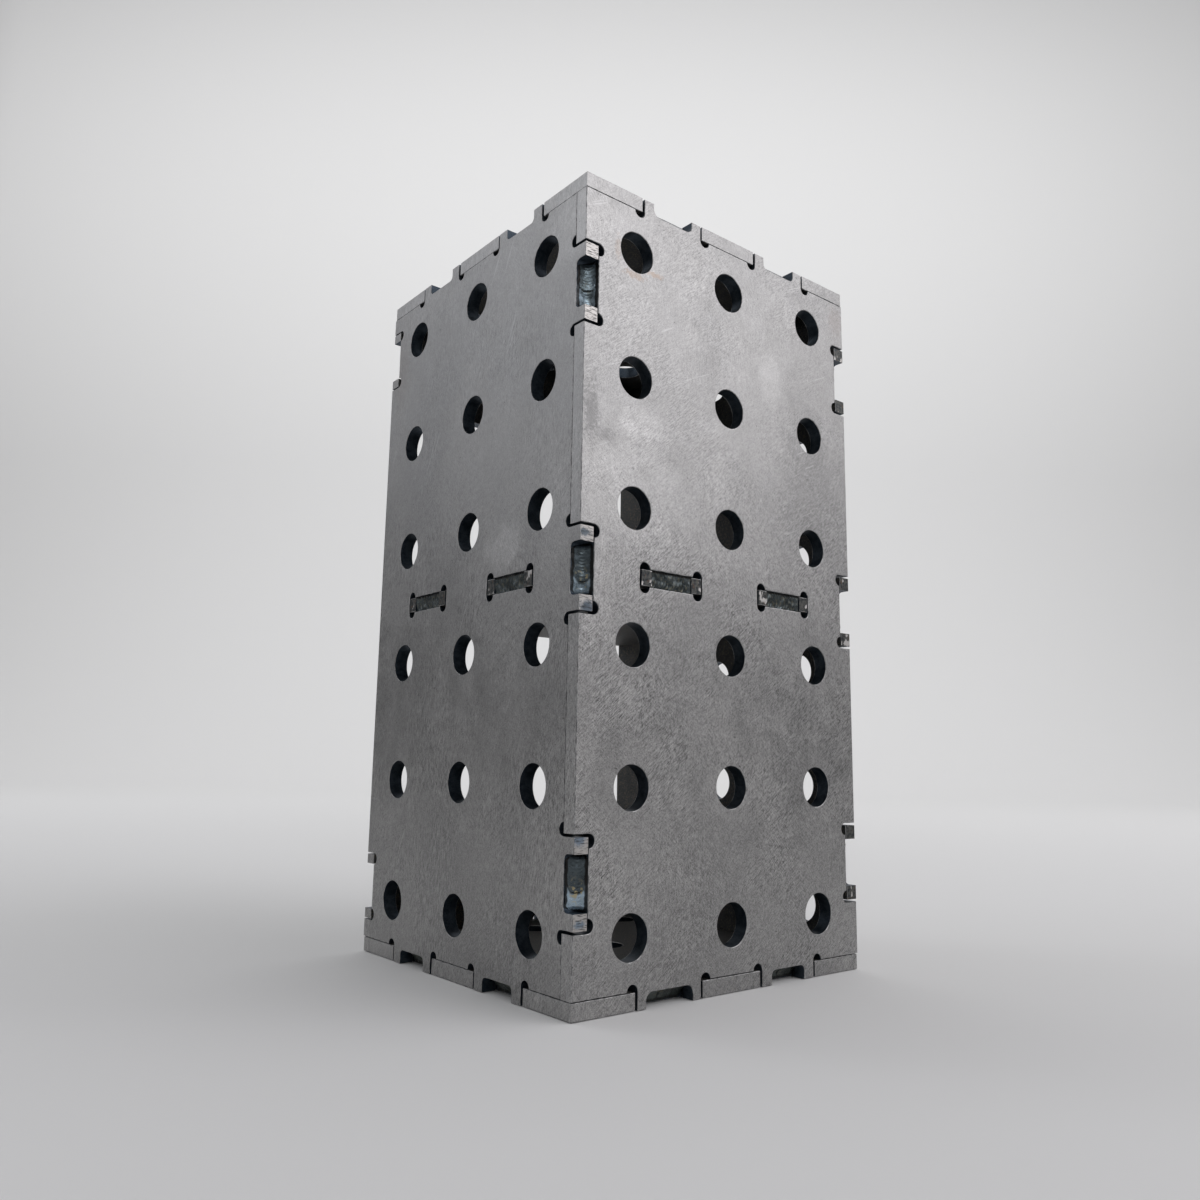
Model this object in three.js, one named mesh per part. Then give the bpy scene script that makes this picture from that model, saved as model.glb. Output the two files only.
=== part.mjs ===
// Riser column for a welding fixture table: a hollow square column of laser-cut steel plates.
// The plates slot into each other with tabs, and a weld plugs the pocket in the middle of every tab.
// Millimetres, +Z up. Origin at the centre of the base; the closed front faces -Y, the open back +Y.
import * as THREE from 'three';

// ---------- driving dimensions ----------
const SIDE = 149.5; // outer width (X) and depth (Y)
const HEIGHT = 298; // outer height
const PLATE = 6; // thickness of every plate
const FIT = 0.3; // gap between a plate and the one that it meets

const PITCH = 50; // fixture grid
const HOLE_R = 8;
const GRID_COLUMNS = [-1, 0, 1];
const GRID_ROWS = [-2.5, -1.5, -0.5, 0.5, 1.5, 2.5];

const RELIEF_R = 2.4; // half-round corner reliefs of notches, slots and tab roots
const TAB = 30; // tab length along the edge
const NOTCH = 32.1; // length of the notch that takes such a tab
const TAB_OFFSET = 31.25; // pairs of tabs stand this far each side of the middle
const POCKET = { length: 19, depth: 5.4, radius: 2 }; // weld pocket in the middle of a tab
// the front plate's left end tabs are cut with wider, rounder pockets
const WIDE_BOTTOM_POCKET = { length: 22.3, depth: 5.4, radius: 3 };
const WIDE_TOP_POCKET = { length: 20.4, depth: 5.4, radius: 3 };
const SLOT_POCKET = { length: 20, depth: 4.6, radius: 2 };
const SLOT_LENGTH = 31.5; // the slots that take the mid plate's tabs
const SLOT_HEIGHT = 6.6;

const CORNER_TAB_RISE = 106; // upper and lower corner tabs, from mid height
const CORNER_TABS = [-CORNER_TAB_RISE, 0, CORNER_TAB_RISE];
const END_TABS = [-TAB_OFFSET, TAB_OFFSET];
const BAR_TAB = 27; // the back bars' side tabs, and their notches
const BAR_NOTCH = 28.2;

const END_INSET = 0.3; // the end plates stand this far inside the side faces
const TOP_SHORTFALL = 0.4; // the upright plates' top tabs end this far below the top face

// ---------- derived places ----------
const HALF = SIDE / 2;
const MID_Z = HEIGHT / 2;
const INNER = HALF - PLATE - FIT; // edges that butt against a side plate's inner face
const BODY_BOTTOM = PLATE + FIT; // side plates stand between the end plates
const BODY_TOP = HEIGHT - BODY_BOTTOM;
const REACH = PLATE + FIT; // a tab reaches through to the outer face
const TOP_REACH = REACH - TOP_SHORTFALL;
const BAR_TOP = MID_Z - 2 * PITCH; // top edge of the lower back bar
const BAR_HEIGHT = BAR_TOP - BODY_BOTTOM;
const BAR_MID = MID_Z - (BODY_BOTTOM + BAR_TOP) / 2; // bar centre, from mid height

const ARC_STEPS = 2; // each half-round relief gets twice this many facets
const HOLE_STEPS = 16;

// ---------- materials ----------
const steel = (colour, roughness) =>
  new THREE.MeshStandardMaterial({ color: colour, roughness, metalness: 1 });
const COLOURS = { plate: 0x8b8c8e, inner: 0x5f6163, weld: 0x5b6873 };

// ---------- outlines ----------
// One straight edge of an outline. s runs along the edge from its middle and h outward from it.
class Edge {
  constructor(shape, from, to) {
    this.shape = shape;
    this.along = to.clone().sub(from).normalize();
    this.out = new THREE.Vector2(this.along.y, -this.along.x);
    this.middle = from.clone().add(to).multiplyScalar(0.5);
    this.heading = Math.atan2(this.along.y, this.along.x);
  }

  point(s, h) {
    return this.middle.clone().addScaledVector(this.along, s).addScaledVector(this.out, h);
  }

  line(s, h) {
    const p = this.point(s, h);
    this.shape.lineTo(p.x, p.y);
  }

  // an arc whose angles turn from the edge's direction towards its outside
  arc(s, h, radius, start, end) {
    const c = this.point(s, h);
    this.shape.absarc(c.x, c.y, radius, this.heading - start, this.heading - end, true);
  }

  relief(s, h) {
    this.arc(s, h, RELIEF_R, -Math.PI, 0);
  }

  // A tab with half-round reliefs at its roots and a weld pocket in the middle of its end. The
  // pocket's depth is measured from the outer face, which the tab may stop short of.
  tab(centre, length, pocket, reach) {
    const half = length / 2;
    const p = pocket.length / 2;
    const r = pocket.radius;
    const floor = REACH - pocket.depth;
    this.line(centre - half - 2 * RELIEF_R, 0);
    this.relief(centre - half - RELIEF_R, 0);
    this.line(centre - half, reach);
    this.line(centre - p, reach);
    this.line(centre - p, floor + r);
    this.arc(centre - p + r, floor + r, r, -Math.PI, -Math.PI / 2);
    this.line(centre + p - r, floor);
    this.arc(centre + p - r, floor + r, r, -Math.PI / 2, 0);
    this.line(centre + p, reach);
    this.line(centre + half, reach);
    this.line(centre + half, 0);
    this.relief(centre + half + RELIEF_R, 0);
  }

  // a notch whose floor bulges into a half-round relief at both ends
  notch(centre, length, depth) {
    const half = length / 2;
    this.line(centre - half, 0);
    this.line(centre - half, -depth);
    this.relief(centre - half + RELIEF_R, -depth);
    this.line(centre + half - 2 * RELIEF_R, -depth);
    this.relief(centre + half - RELIEF_R, -depth);
    this.line(centre + half, 0);
  }
}

// A rectangle from (x0, y0) to (x1, y1), drawn anticlockwise. Each of bottom, right, top and left is
// a function that adds that edge's tabs or notches, or null for a plain edge.
function outline(x0, y0, x1, y1, sides) {
  const corners = [[x0, y0], [x1, y0], [x1, y1], [x0, y1]].map(([x, y]) => new THREE.Vector2(x, y));
  const shape = new THREE.Shape();
  shape.moveTo(x0, y0);
  ['bottom', 'right', 'top', 'left'].forEach((side, i) => {
    const next = corners[(i + 1) % 4];
    if (sides[side]) sides[side](new Edge(shape, corners[i], next));
    if (i < 3) shape.lineTo(next.x, next.y);
  });
  shape.closePath();
  return shape;
}

// A row of tabs. Pockets holds one pocket for each, or a single one for all.
const tabs = (centres, length, pockets, reach = REACH) => (edge) => {
  centres.forEach((centre, i) => edge.tab(centre, length, pockets[i % pockets.length], reach));
};
const notches = (centres, length, depth) => (edge) => {
  centres.forEach((centre) => edge.notch(centre, length, depth));
};

function addHole(shape, x, y) {
  const circle = new THREE.Path().absarc(x, y, HOLE_R, 0, 2 * Math.PI);
  shape.holes.push(new THREE.Path(circle.getPoints(HOLE_STEPS / 2)));
}

function addGrid(shape, columns, rows, middle) {
  for (const row of rows) {
    for (const column of columns) addHole(shape, column * PITCH, middle + row * PITCH);
  }
}

// the slot that takes a tab of the mid plate, with a half-round relief at each corner
function addSlot(shape, x, y) {
  const w = SLOT_LENGTH / 2;
  const h = SLOT_HEIGHT / 2;
  const slot = new THREE.Path();
  slot.moveTo(x - w, y - h);
  slot.absarc(x - w + RELIEF_R, y - h, RELIEF_R, Math.PI, 2 * Math.PI);
  slot.lineTo(x + w - 2 * RELIEF_R, y - h);
  slot.absarc(x + w - RELIEF_R, y - h, RELIEF_R, Math.PI, 2 * Math.PI);
  slot.lineTo(x + w, y + h);
  slot.absarc(x + w - RELIEF_R, y + h, RELIEF_R, 0, Math.PI);
  slot.lineTo(x - w + 2 * RELIEF_R, y + h);
  slot.absarc(x - w + RELIEF_R, y + h, RELIEF_R, 0, Math.PI);
  slot.closePath();
  shape.holes.push(slot);
}

const extrude = (shape, depth) =>
  new THREE.ExtrudeGeometry(shape, { depth, bevelEnabled: false, curveSegments: ARC_STEPS });

// ---------- plates ----------
const column = new THREE.Group();

function addMesh(name, geometry, colour, roughness) {
  const mesh = new THREE.Mesh(geometry, steel(colour, roughness));
  mesh.name = name;
  column.add(mesh);
  return mesh;
}

// stands a flat outline up so that it is seen from the front, from y to y + PLATE
function standFacingFront(mesh, y) {
  mesh.rotation.x = Math.PI / 2;
  mesh.position.y = y + PLATE;
}

// stands a flat outline up so that its first axis runs along Y, from x to x + PLATE
function standFacingSide(mesh, x) {
  mesh.rotation.set(Math.PI / 2, Math.PI / 2, 0, 'XYZ');
  mesh.position.x = x;
}

function frontPlate() {
  const shape = outline(-HALF, BODY_BOTTOM, HALF, BODY_TOP, {
    bottom: tabs(END_TABS, TAB, [WIDE_BOTTOM_POCKET, POCKET]),
    right: notches(CORNER_TABS, NOTCH, REACH),
    top: tabs(END_TABS, TAB, [POCKET, WIDE_TOP_POCKET], TOP_REACH),
    left: notches(CORNER_TABS, NOTCH, REACH),
  });
  addGrid(shape, GRID_COLUMNS, GRID_ROWS, MID_Z);
  for (const x of END_TABS) addSlot(shape, x, MID_Z);
  standFacingFront(addMesh('front_plate', extrude(shape, PLATE), COLOURS.plate, 0.5), -HALF);
}

// The side plates' outlines aren't centred on Y = 0, so their tabs are placed from the edge's middle.
function sidePlate(name, x) {
  const front = -INNER;
  const shift = (front + HALF) / 2;
  const shape = outline(front, BODY_BOTTOM, HALF, BODY_TOP, {
    bottom: tabs(END_TABS.map((y) => y - shift), TAB, [POCKET]),
    right: notches([-BAR_MID, BAR_MID], BAR_NOTCH, REACH),
    top: tabs(END_TABS.map((y) => y + shift), TAB, [POCKET], TOP_REACH),
    left: tabs(CORNER_TABS, TAB, [POCKET]),
  });
  addGrid(shape, GRID_COLUMNS, GRID_ROWS, MID_Z);
  for (const y of END_TABS) addSlot(shape, y, MID_Z);
  standFacingSide(addMesh(name, extrude(shape, PLATE), COLOURS.plate, 0.5), x);
}

function backBar(name, bottom, isTop) {
  const top = bottom + BAR_HEIGHT;
  const shape = outline(-INNER, bottom, INNER, top, {
    bottom: isTop ? null : tabs(END_TABS, TAB, [POCKET]),
    right: tabs([0], BAR_TAB, [POCKET]),
    top: isTop ? tabs(END_TABS, TAB, [POCKET], TOP_REACH) : null,
    left: tabs([0], BAR_TAB, [POCKET]),
  });
  const row = isTop ? GRID_ROWS.at(-1) : GRID_ROWS[0];
  addGrid(shape, GRID_COLUMNS, [row], MID_Z);
  standFacingFront(addMesh(name, extrude(shape, PLATE), COLOURS.plate, 0.5), HALF - PLATE);
}

function endPlate(name, z) {
  const half = HALF - END_INSET;
  const all = notches(END_TABS, NOTCH, REACH - END_INSET);
  const shape = outline(-half, -half, half, half, { bottom: all, right: all, top: all, left: all });
  addGrid(shape, GRID_COLUMNS, GRID_COLUMNS, 0);
  addMesh(name, extrude(shape, PLATE), COLOURS.plate, 0.5).position.z = z;
}

function midPlate() {
  const shift = (HALF - INNER) / 2;
  const shape = outline(-INNER, -INNER, INNER, HALF, {
    bottom: tabs(END_TABS, TAB, [SLOT_POCKET]),
    right: tabs(END_TABS.map((y) => y - shift), TAB, [SLOT_POCKET]),
    top: null,
    left: tabs(END_TABS.map((y) => y + shift), TAB, [SLOT_POCKET]),
  });
  addMesh('mid_plate', extrude(shape, PLATE), COLOURS.inner, 0.6).position.z = MID_Z - PLATE / 2;
}

// ---------- welds ----------
// A hollow-faced bead in the corner between two walls. It is drawn with its corner at the origin and
// its legs along X and Y, and runs along Z.
function cornerBead(length, leg) {
  const centre = 1.4 * leg;
  const radius = Math.hypot(centre - leg, centre - FIT);
  const start = Math.atan2(FIT - centre, leg - centre);
  const end = Math.atan2(leg - centre, FIT - centre);
  const shape = new THREE.Shape();
  shape.moveTo(FIT, FIT);
  shape.absarc(centre, centre, radius, start, end, true);
  shape.closePath();
  return extrude(shape, length).translate(0, 0, -length / 2);
}

// A plug that fills a slot's pocket, with a slightly hollow face. It is drawn with its face towards
// +Y, the outer face of the plate at Y = 0, and runs along Z.
function slotPlug(length) {
  const half = PLATE / 2;
  const back = FIT - SLOT_POCKET.depth;
  const edge = -0.4;
  const hollow = -1.1;
  const shape = new THREE.Shape();
  shape.moveTo(-half, back);
  shape.lineTo(half, back);
  shape.lineTo(half, edge);
  shape.quadraticCurveTo(0, hollow, -half, edge);
  shape.closePath();
  return extrude(shape, length).translate(0, 0, -length / 2);
}

// lays a bead with its corner at a point and its first two axes along given directions
function place(mesh, corner, first, second) {
  const third = first.clone().cross(second);
  mesh.quaternion.setFromRotationMatrix(new THREE.Matrix4().makeBasis(first, second, third));
  mesh.position.copy(corner);
}

const axis = {
  left: new THREE.Vector3(-1, 0, 0),
  right: new THREE.Vector3(1, 0, 0),
  front: new THREE.Vector3(0, -1, 0),
  back: new THREE.Vector3(0, 1, 0),
  bottom: new THREE.Vector3(0, 0, -1),
  top: new THREE.Vector3(0, 0, 1),
};
const WALL = HALF - REACH; // floor of a notch that takes a tab
const POCKET_FLOOR = HALF - POCKET.depth;
const BEAD_LENGTH = POCKET.length - POCKET.radius; // stops short of the pocket's round corners
const LEVELS = ['lower', 'middle', 'upper'];

function weld(name, geometry, corner, first, second) {
  place(addMesh(name, geometry, COLOURS.weld, 0.35), corner, first, second);
}

function frontCornerWelds(side, sign) {
  CORNER_TABS.forEach((rise, i) => {
    const corner = new THREE.Vector3(sign * WALL, -POCKET_FLOOR, MID_Z + rise);
    const bead = cornerBead(BEAD_LENGTH, 5);
    weld(`weld_front_${side}_${LEVELS[i]}`, bead, corner, axis[side], axis.front);
  });
}

function backCornerWelds(side, sign) {
  [-BAR_MID, BAR_MID].forEach((rise, i) => {
    const corner = new THREE.Vector3(sign * POCKET_FLOOR, WALL, MID_Z + rise);
    const bead = cornerBead(BEAD_LENGTH, 5);
    weld(`weld_back_${side}_${LEVELS[2 * i]}`, bead, corner, axis.back, axis[side]);
  });
}

// Two welds on each side of an end plate. Side is front, back, left or right.
function endWelds(end, side) {
  const z = end === 'top' ? HEIGHT - POCKET.depth : POCKET.depth;
  const across = side === 'front' || side === 'back' ? axis.right : axis.back;
  END_TABS.forEach((offset, i) => {
    const corner = axis[side].clone().multiplyScalar(WALL).addScaledVector(across, offset);
    corner.z = z;
    const bead = cornerBead(BEAD_LENGTH, 4);
    weld(`weld_${end}_${side}_${i + 1}`, bead, corner, axis[side], axis[end]);
  });
}

function slotWelds(side) {
  const across = side === 'front' ? axis.right : axis.back;
  END_TABS.forEach((offset, i) => {
    const corner = axis[side].clone().multiplyScalar(HALF).addScaledVector(across, offset);
    corner.z = MID_Z;
    const plug = slotPlug(SLOT_POCKET.length - SLOT_POCKET.radius);
    weld(`weld_slot_${side}_${i + 1}`, plug, corner, axis.top, axis[side]);
  });
}

// ---------- the assembly ----------
frontPlate();
sidePlate('left_plate', -HALF);
sidePlate('right_plate', HALF - PLATE);
endPlate('bottom_plate', 0);
endPlate('top_plate', HEIGHT - PLATE);
backBar('back_bar_lower', BODY_BOTTOM, false);
backBar('back_bar_upper', BODY_TOP - BAR_HEIGHT, true);
midPlate();

frontCornerWelds('left', -1);
frontCornerWelds('right', 1);
backCornerWelds('left', -1);
backCornerWelds('right', 1);
for (const end of ['bottom', 'top']) {
  for (const side of ['front', 'back', 'left', 'right']) endWelds(end, side);
}
for (const side of ['front', 'left', 'right']) slotWelds(side);

export default column;
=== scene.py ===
"""Looks of the riser column: finely built plates, rippled weld beads, sanded steel, studio."""

import math

import bmesh
import bpy
from mathutils import Matrix, Vector, noise


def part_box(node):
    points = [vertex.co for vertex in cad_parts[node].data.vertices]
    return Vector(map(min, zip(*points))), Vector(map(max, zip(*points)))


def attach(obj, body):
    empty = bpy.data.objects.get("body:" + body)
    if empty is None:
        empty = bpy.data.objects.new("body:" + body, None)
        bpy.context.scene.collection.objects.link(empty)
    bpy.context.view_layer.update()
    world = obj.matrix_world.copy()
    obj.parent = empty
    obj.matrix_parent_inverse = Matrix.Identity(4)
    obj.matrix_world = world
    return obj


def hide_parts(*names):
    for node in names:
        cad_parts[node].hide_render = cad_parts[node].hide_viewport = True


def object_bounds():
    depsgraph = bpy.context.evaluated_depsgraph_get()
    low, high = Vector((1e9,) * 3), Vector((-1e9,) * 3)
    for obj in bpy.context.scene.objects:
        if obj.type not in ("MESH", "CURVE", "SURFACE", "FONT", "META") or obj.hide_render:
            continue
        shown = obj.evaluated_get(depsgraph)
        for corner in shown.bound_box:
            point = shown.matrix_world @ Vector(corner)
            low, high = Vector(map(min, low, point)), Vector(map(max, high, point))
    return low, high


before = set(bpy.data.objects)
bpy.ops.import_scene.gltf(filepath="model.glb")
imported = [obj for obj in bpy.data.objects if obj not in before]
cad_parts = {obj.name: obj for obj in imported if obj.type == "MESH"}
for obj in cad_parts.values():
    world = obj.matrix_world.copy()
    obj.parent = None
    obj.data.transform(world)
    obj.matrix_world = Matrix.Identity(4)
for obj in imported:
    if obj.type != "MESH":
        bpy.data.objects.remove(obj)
cad_low, cad_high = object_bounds()

MM = 0.001

# ---------- sizes, in metres ----------
HALF = cad_high[0]
HEIGHT = cad_high[2]
MID_Z = HEIGHT / 2
END_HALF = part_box("top_plate")[1][0]
PLATE = 6 * MM
FIT = 0.3 * MM
CORNER_SEAM = 0.08 * MM  # the side plates butt this closely against the front plate
REACH = PLATE + FIT
TOP_RECESS = 0.4 * MM  # how far the upper tabs end below the top plate's face
TOP_REACH = REACH - TOP_RECESS
INNER = HALF - REACH
SIDE_FRONT = HALF - PLATE - CORNER_SEAM
BODY_BOTTOM = REACH
BODY_TOP = HEIGHT - REACH
PITCH = 50 * MM
HOLE_R = 8 * MM
HOLE_STEPS = 64
COLUMNS = (-1, 0, 1)
ROWS = (-2.5, -1.5, -0.5, 0.5, 1.5, 2.5)
RELIEF_R = 2.4 * MM
TAB = 30 * MM
NOTCH = 32.1 * MM
SLOT_LENGTH = 31.5 * MM
SLOT_HEIGHT = 6.6 * MM
TAB_OFFSET = 31.25 * MM
END_TABS = (-TAB_OFFSET, TAB_OFFSET)
CORNER_TABS = (-106 * MM, 0.0, 106 * MM)
BAR_TAB = 27 * MM
BAR_NOTCH = 28.2 * MM
BAR_TOP = MID_Z - 2 * PITCH
BAR_HEIGHT = BAR_TOP - BODY_BOTTOM
BAR_MID = MID_Z - (BODY_BOTTOM + BAR_TOP) / 2
# pockets for the welds, cut into the tabs' ends: length, depth, corner radius
POCKET = (19 * MM, 5.4 * MM, 2 * MM)
WIDE_BOTTOM_POCKET = (22.3 * MM, 5.4 * MM, 3 * MM)
WIDE_TOP_POCKET = (20.4 * MM, 5.4 * MM, 3 * MM)
SLOT_POCKET = (20 * MM, 4.6 * MM, 2 * MM)
BREAK_STEPS = 3  # round each broken edge

# ---------- camera ----------
CAMERA_AT = Vector((-277.17, -337.37, 82.67)) * MM
CAMERA_AIM = Vector((0.61919, 0.76817, 0.16284)).normalized()
CAMERA_ROLL = math.radians(0.923)
CAMERA_LENS = 29.46


def make_camera():
    data = bpy.data.cameras.new("camera")
    data.lens = CAMERA_LENS
    data.sensor_width = 36
    data.clip_start = 0.01
    data.clip_end = 100
    camera = bpy.data.objects.new("camera", data)
    right = CAMERA_AIM.cross(Vector((0, 0, 1))).normalized()
    up = right.cross(CAMERA_AIM)
    turn = Matrix.Rotation(-CAMERA_ROLL, 3, CAMERA_AIM)
    axes = Matrix((turn @ right, turn @ up, -CAMERA_AIM)).transposed()
    camera.matrix_world = Matrix.Translation(CAMERA_AT) @ axes.to_4x4()
    bpy.context.collection.objects.link(camera)
    bpy.context.scene.camera = camera


make_camera()


# ---------- outlines ----------
class Outline:
    """A closed outline with arcs. Each point carries the kind of wall that starts there."""

    ARC_STEPS = 12
    CLOSEST = 0.01 * MM

    def __init__(self):
        self.points = []
        self.kinds = []

    def add(self, point, kind="cut"):
        self.points.append(point)
        self.kinds.append(kind)

    def arc(self, centre, radius, start, end, steps):
        for i in range(steps):
            angle = start + (end - start) * i / steps
            self.add(centre + radius * Vector((math.cos(angle), math.sin(angle))))

    def clean(self):
        """Drops points that repeat the one before."""
        keep = [
            i for i, p in enumerate(self.points)
            if (p - self.points[i - 1]).length > self.CLOSEST
        ]
        self.points = [self.points[i] for i in keep]
        self.kinds = [self.kinds[i] for i in keep]

    def inset(self, distance):
        """The points moved into the material, which lies on the outline's left."""
        moved = []
        count = len(self.points)
        for i, here in enumerate(self.points):
            before = (here - self.points[i - 1]).normalized()
            after = (self.points[(i + 1) % count] - here).normalized()
            n0 = Vector((-before.y, before.x))
            n1 = Vector((-after.y, after.x))
            moved.append(here + (n0 + n1) / (1 + n0.dot(n1)) * distance)
        return moved


class Edge:
    """One straight edge of an outline. s runs along it from its middle and h outward from it."""

    def __init__(self, outline, start, end, kind):
        self.outline = outline
        self.along = (end - start).normalized()
        self.out = Vector((self.along.y, -self.along.x))
        self.middle = (start + end) / 2
        self.heading = math.atan2(self.along.y, self.along.x)
        self.kind = kind

    def line(self, s, h, kind="cut"):
        self.outline.add(self.middle + self.along * s + self.out * h, kind)

    def arc(self, s, h, radius, start, end):
        steps = max(3, round(Outline.ARC_STEPS * abs(end - start) / math.pi))
        centre = self.middle + self.along * s + self.out * h
        self.outline.arc(centre, radius, self.heading - start, self.heading - end, steps)

    def tab(self, centre, length, pocket, reach, full_reach):
        """A tab with a weld pocket in its end. The pocket's depth counts from full_reach."""
        width, depth, radius = pocket
        half, pocket_half = length / 2, width / 2
        floor = full_reach - depth
        self.arc(centre - half - RELIEF_R, 0, RELIEF_R, -math.pi, 0)
        self.line(centre - half, 0)
        self.line(centre - half, reach, "tip")
        self.line(centre - pocket_half, reach)
        self.arc(centre - pocket_half + radius, floor + radius, radius, -math.pi, -math.pi / 2)
        self.line(centre - pocket_half + radius, floor)
        self.arc(centre + pocket_half - radius, floor + radius, radius, -math.pi / 2, 0)
        self.line(centre + pocket_half, floor + radius)
        self.line(centre + pocket_half, reach, "tip")
        self.line(centre + half, reach)
        self.line(centre + half, 0)
        self.arc(centre + half + RELIEF_R, 0, RELIEF_R, -math.pi, 0)
        self.line(centre + half + 2 * RELIEF_R, 0, self.kind)

    def notch(self, centre, length, depth):
        """A notch with a half-round relief in each inner corner."""
        half = length / 2
        self.line(centre - half, 0)
        self.arc(centre - half + RELIEF_R, -depth, RELIEF_R, -math.pi, 0)
        self.line(centre - half + 2 * RELIEF_R, -depth)
        self.arc(centre + half - RELIEF_R, -depth, RELIEF_R, -math.pi, 0)
        self.line(centre + half, -depth)
        self.line(centre + half, 0, self.kind)


def tabs(centres, length, pockets, reach=REACH, full_reach=REACH):
    """Adds tabs to an edge. They take the pockets in turn."""
    def add(edge):
        for i, centre in enumerate(centres):
            edge.tab(centre, length, pockets[i % len(pockets)], reach, full_reach)
    return add


def notches(centres, length, depth):
    def add(edge):
        for centre in centres:
            edge.notch(centre, length, depth)
    return add


def rectangle(low, high, kinds, sides):
    """An outline from corner low to corner high. kinds, the walls' kinds, and sides, which add the
    tabs or notches, go bottom, right, top, left."""
    (x0, y0), (x1, y1) = low, high
    corners = [Vector(c) for c in ((x0, y0), (x1, y0), (x1, y1), (x0, y1))]
    outline = Outline()
    for i, (kind, side) in enumerate(zip(kinds, sides)):
        outline.add(corners[i], kind)
        if side:
            side(Edge(outline, corners[i], corners[(i + 1) % 4], kind))
    return outline


def hole(x, y):
    outline = Outline()
    outline.arc(Vector((x, y)), HOLE_R, 0, -2 * math.pi, HOLE_STEPS)
    return outline


def grid(columns, rows, middle):
    return [hole(c * PITCH, middle + r * PITCH) for r in rows for c in columns]


def slot_hole(x, y):
    """The slot that takes a tab of the mid plate, with half-round reliefs."""
    outline = Outline()
    half_length, half_height = SLOT_LENGTH / 2, SLOT_HEIGHT / 2
    for sign, turn in ((1, 0), (-1, math.pi)):
        for side in (-1, 1):
            centre = Vector((x + sign * side * (half_length - RELIEF_R), y + sign * half_height))
            outline.arc(centre, RELIEF_R, turn + math.pi, turn, Outline.ARC_STEPS)
            outline.add(centre + Vector((sign * RELIEF_R, 0)))
    return outline


# ---------- plate meshes ----------
SHARP = math.radians(40)


def levels(edge_break):
    """(depth, inset) pairs from the outer face to the inner one, round the broken edges."""
    turns = [math.pi / 2 * k / BREAK_STEPS for k in range(BREAK_STEPS + 1)]
    near = [(edge_break * (1 - math.cos(t)), edge_break * (1 - math.sin(t))) for t in turns]
    return near + [(PLATE - depth, inset) for depth, inset in reversed(near)]


def plate(name, outer, holes, to_world, materials, edge_break=0.2 * MM):
    """A plate with broken edges. to_world maps (u, v, depth below the outer face) to the frame.
    materials maps the kinds of face to material names."""
    slots = sorted(set(materials.values()))
    bm = bmesh.new()
    caps = {0: [], -1: []}
    for outline in [outer] + holes:
        outline.clean()
        rings = []
        for depth, inset in levels(edge_break):
            rings.append([bm.verts.new(to_world(p.x, p.y, depth)) for p in outline.inset(inset)])
        count = len(outline.points)
        for level in range(len(rings) - 1):
            for i in range(count):
                j = (i + 1) % count
                quad = (rings[level][i], rings[level][j], rings[level + 1][j], rings[level + 1][i])
                kind = outline.kinds[i] if level == BREAK_STEPS else "break"
                bm.faces.new(quad).material_index = slots.index(materials[kind])
        for end, edges in caps.items():
            ring = rings[end]
            edges += [bm.edges.get((ring[i], ring[(i + 1) % count])) for i in range(count)]
    for end, edges in caps.items():
        kind = "outer" if end == 0 else "inner"
        made = bmesh.ops.triangle_fill(bm, edges=edges, use_beauty=True)
        for face in (g for g in made["geom"] if isinstance(g, bmesh.types.BMFace)):
            face.material_index = slots.index(materials[kind])
    bmesh.ops.recalc_face_normals(bm, faces=bm.faces)
    return finish_mesh(name, bm, [MATERIALS[s] for s in slots])


def finish_mesh(name, bm, materials, sharp=SHARP):
    """Turns the mesh into a smooth shaded object with sharp edges above the given angle."""
    mesh = bpy.data.meshes.new(name)
    bm.to_mesh(mesh)
    bm.free()
    for material in materials:
        mesh.materials.append(material)
    mesh.shade_smooth()
    mesh.set_sharp_from_angle(angle=sharp)
    piece = bpy.data.objects.new(name, mesh)
    bpy.context.collection.objects.link(piece)
    weighted = piece.modifiers.new("weighted_normals", "WEIGHTED_NORMAL")
    weighted.keep_sharp = True
    return piece


# ---------- materials ----------
# the Mix node's sockets for colours
MIX_A = 6
MIX_B = 7
MIX_RESULT = 2


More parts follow.
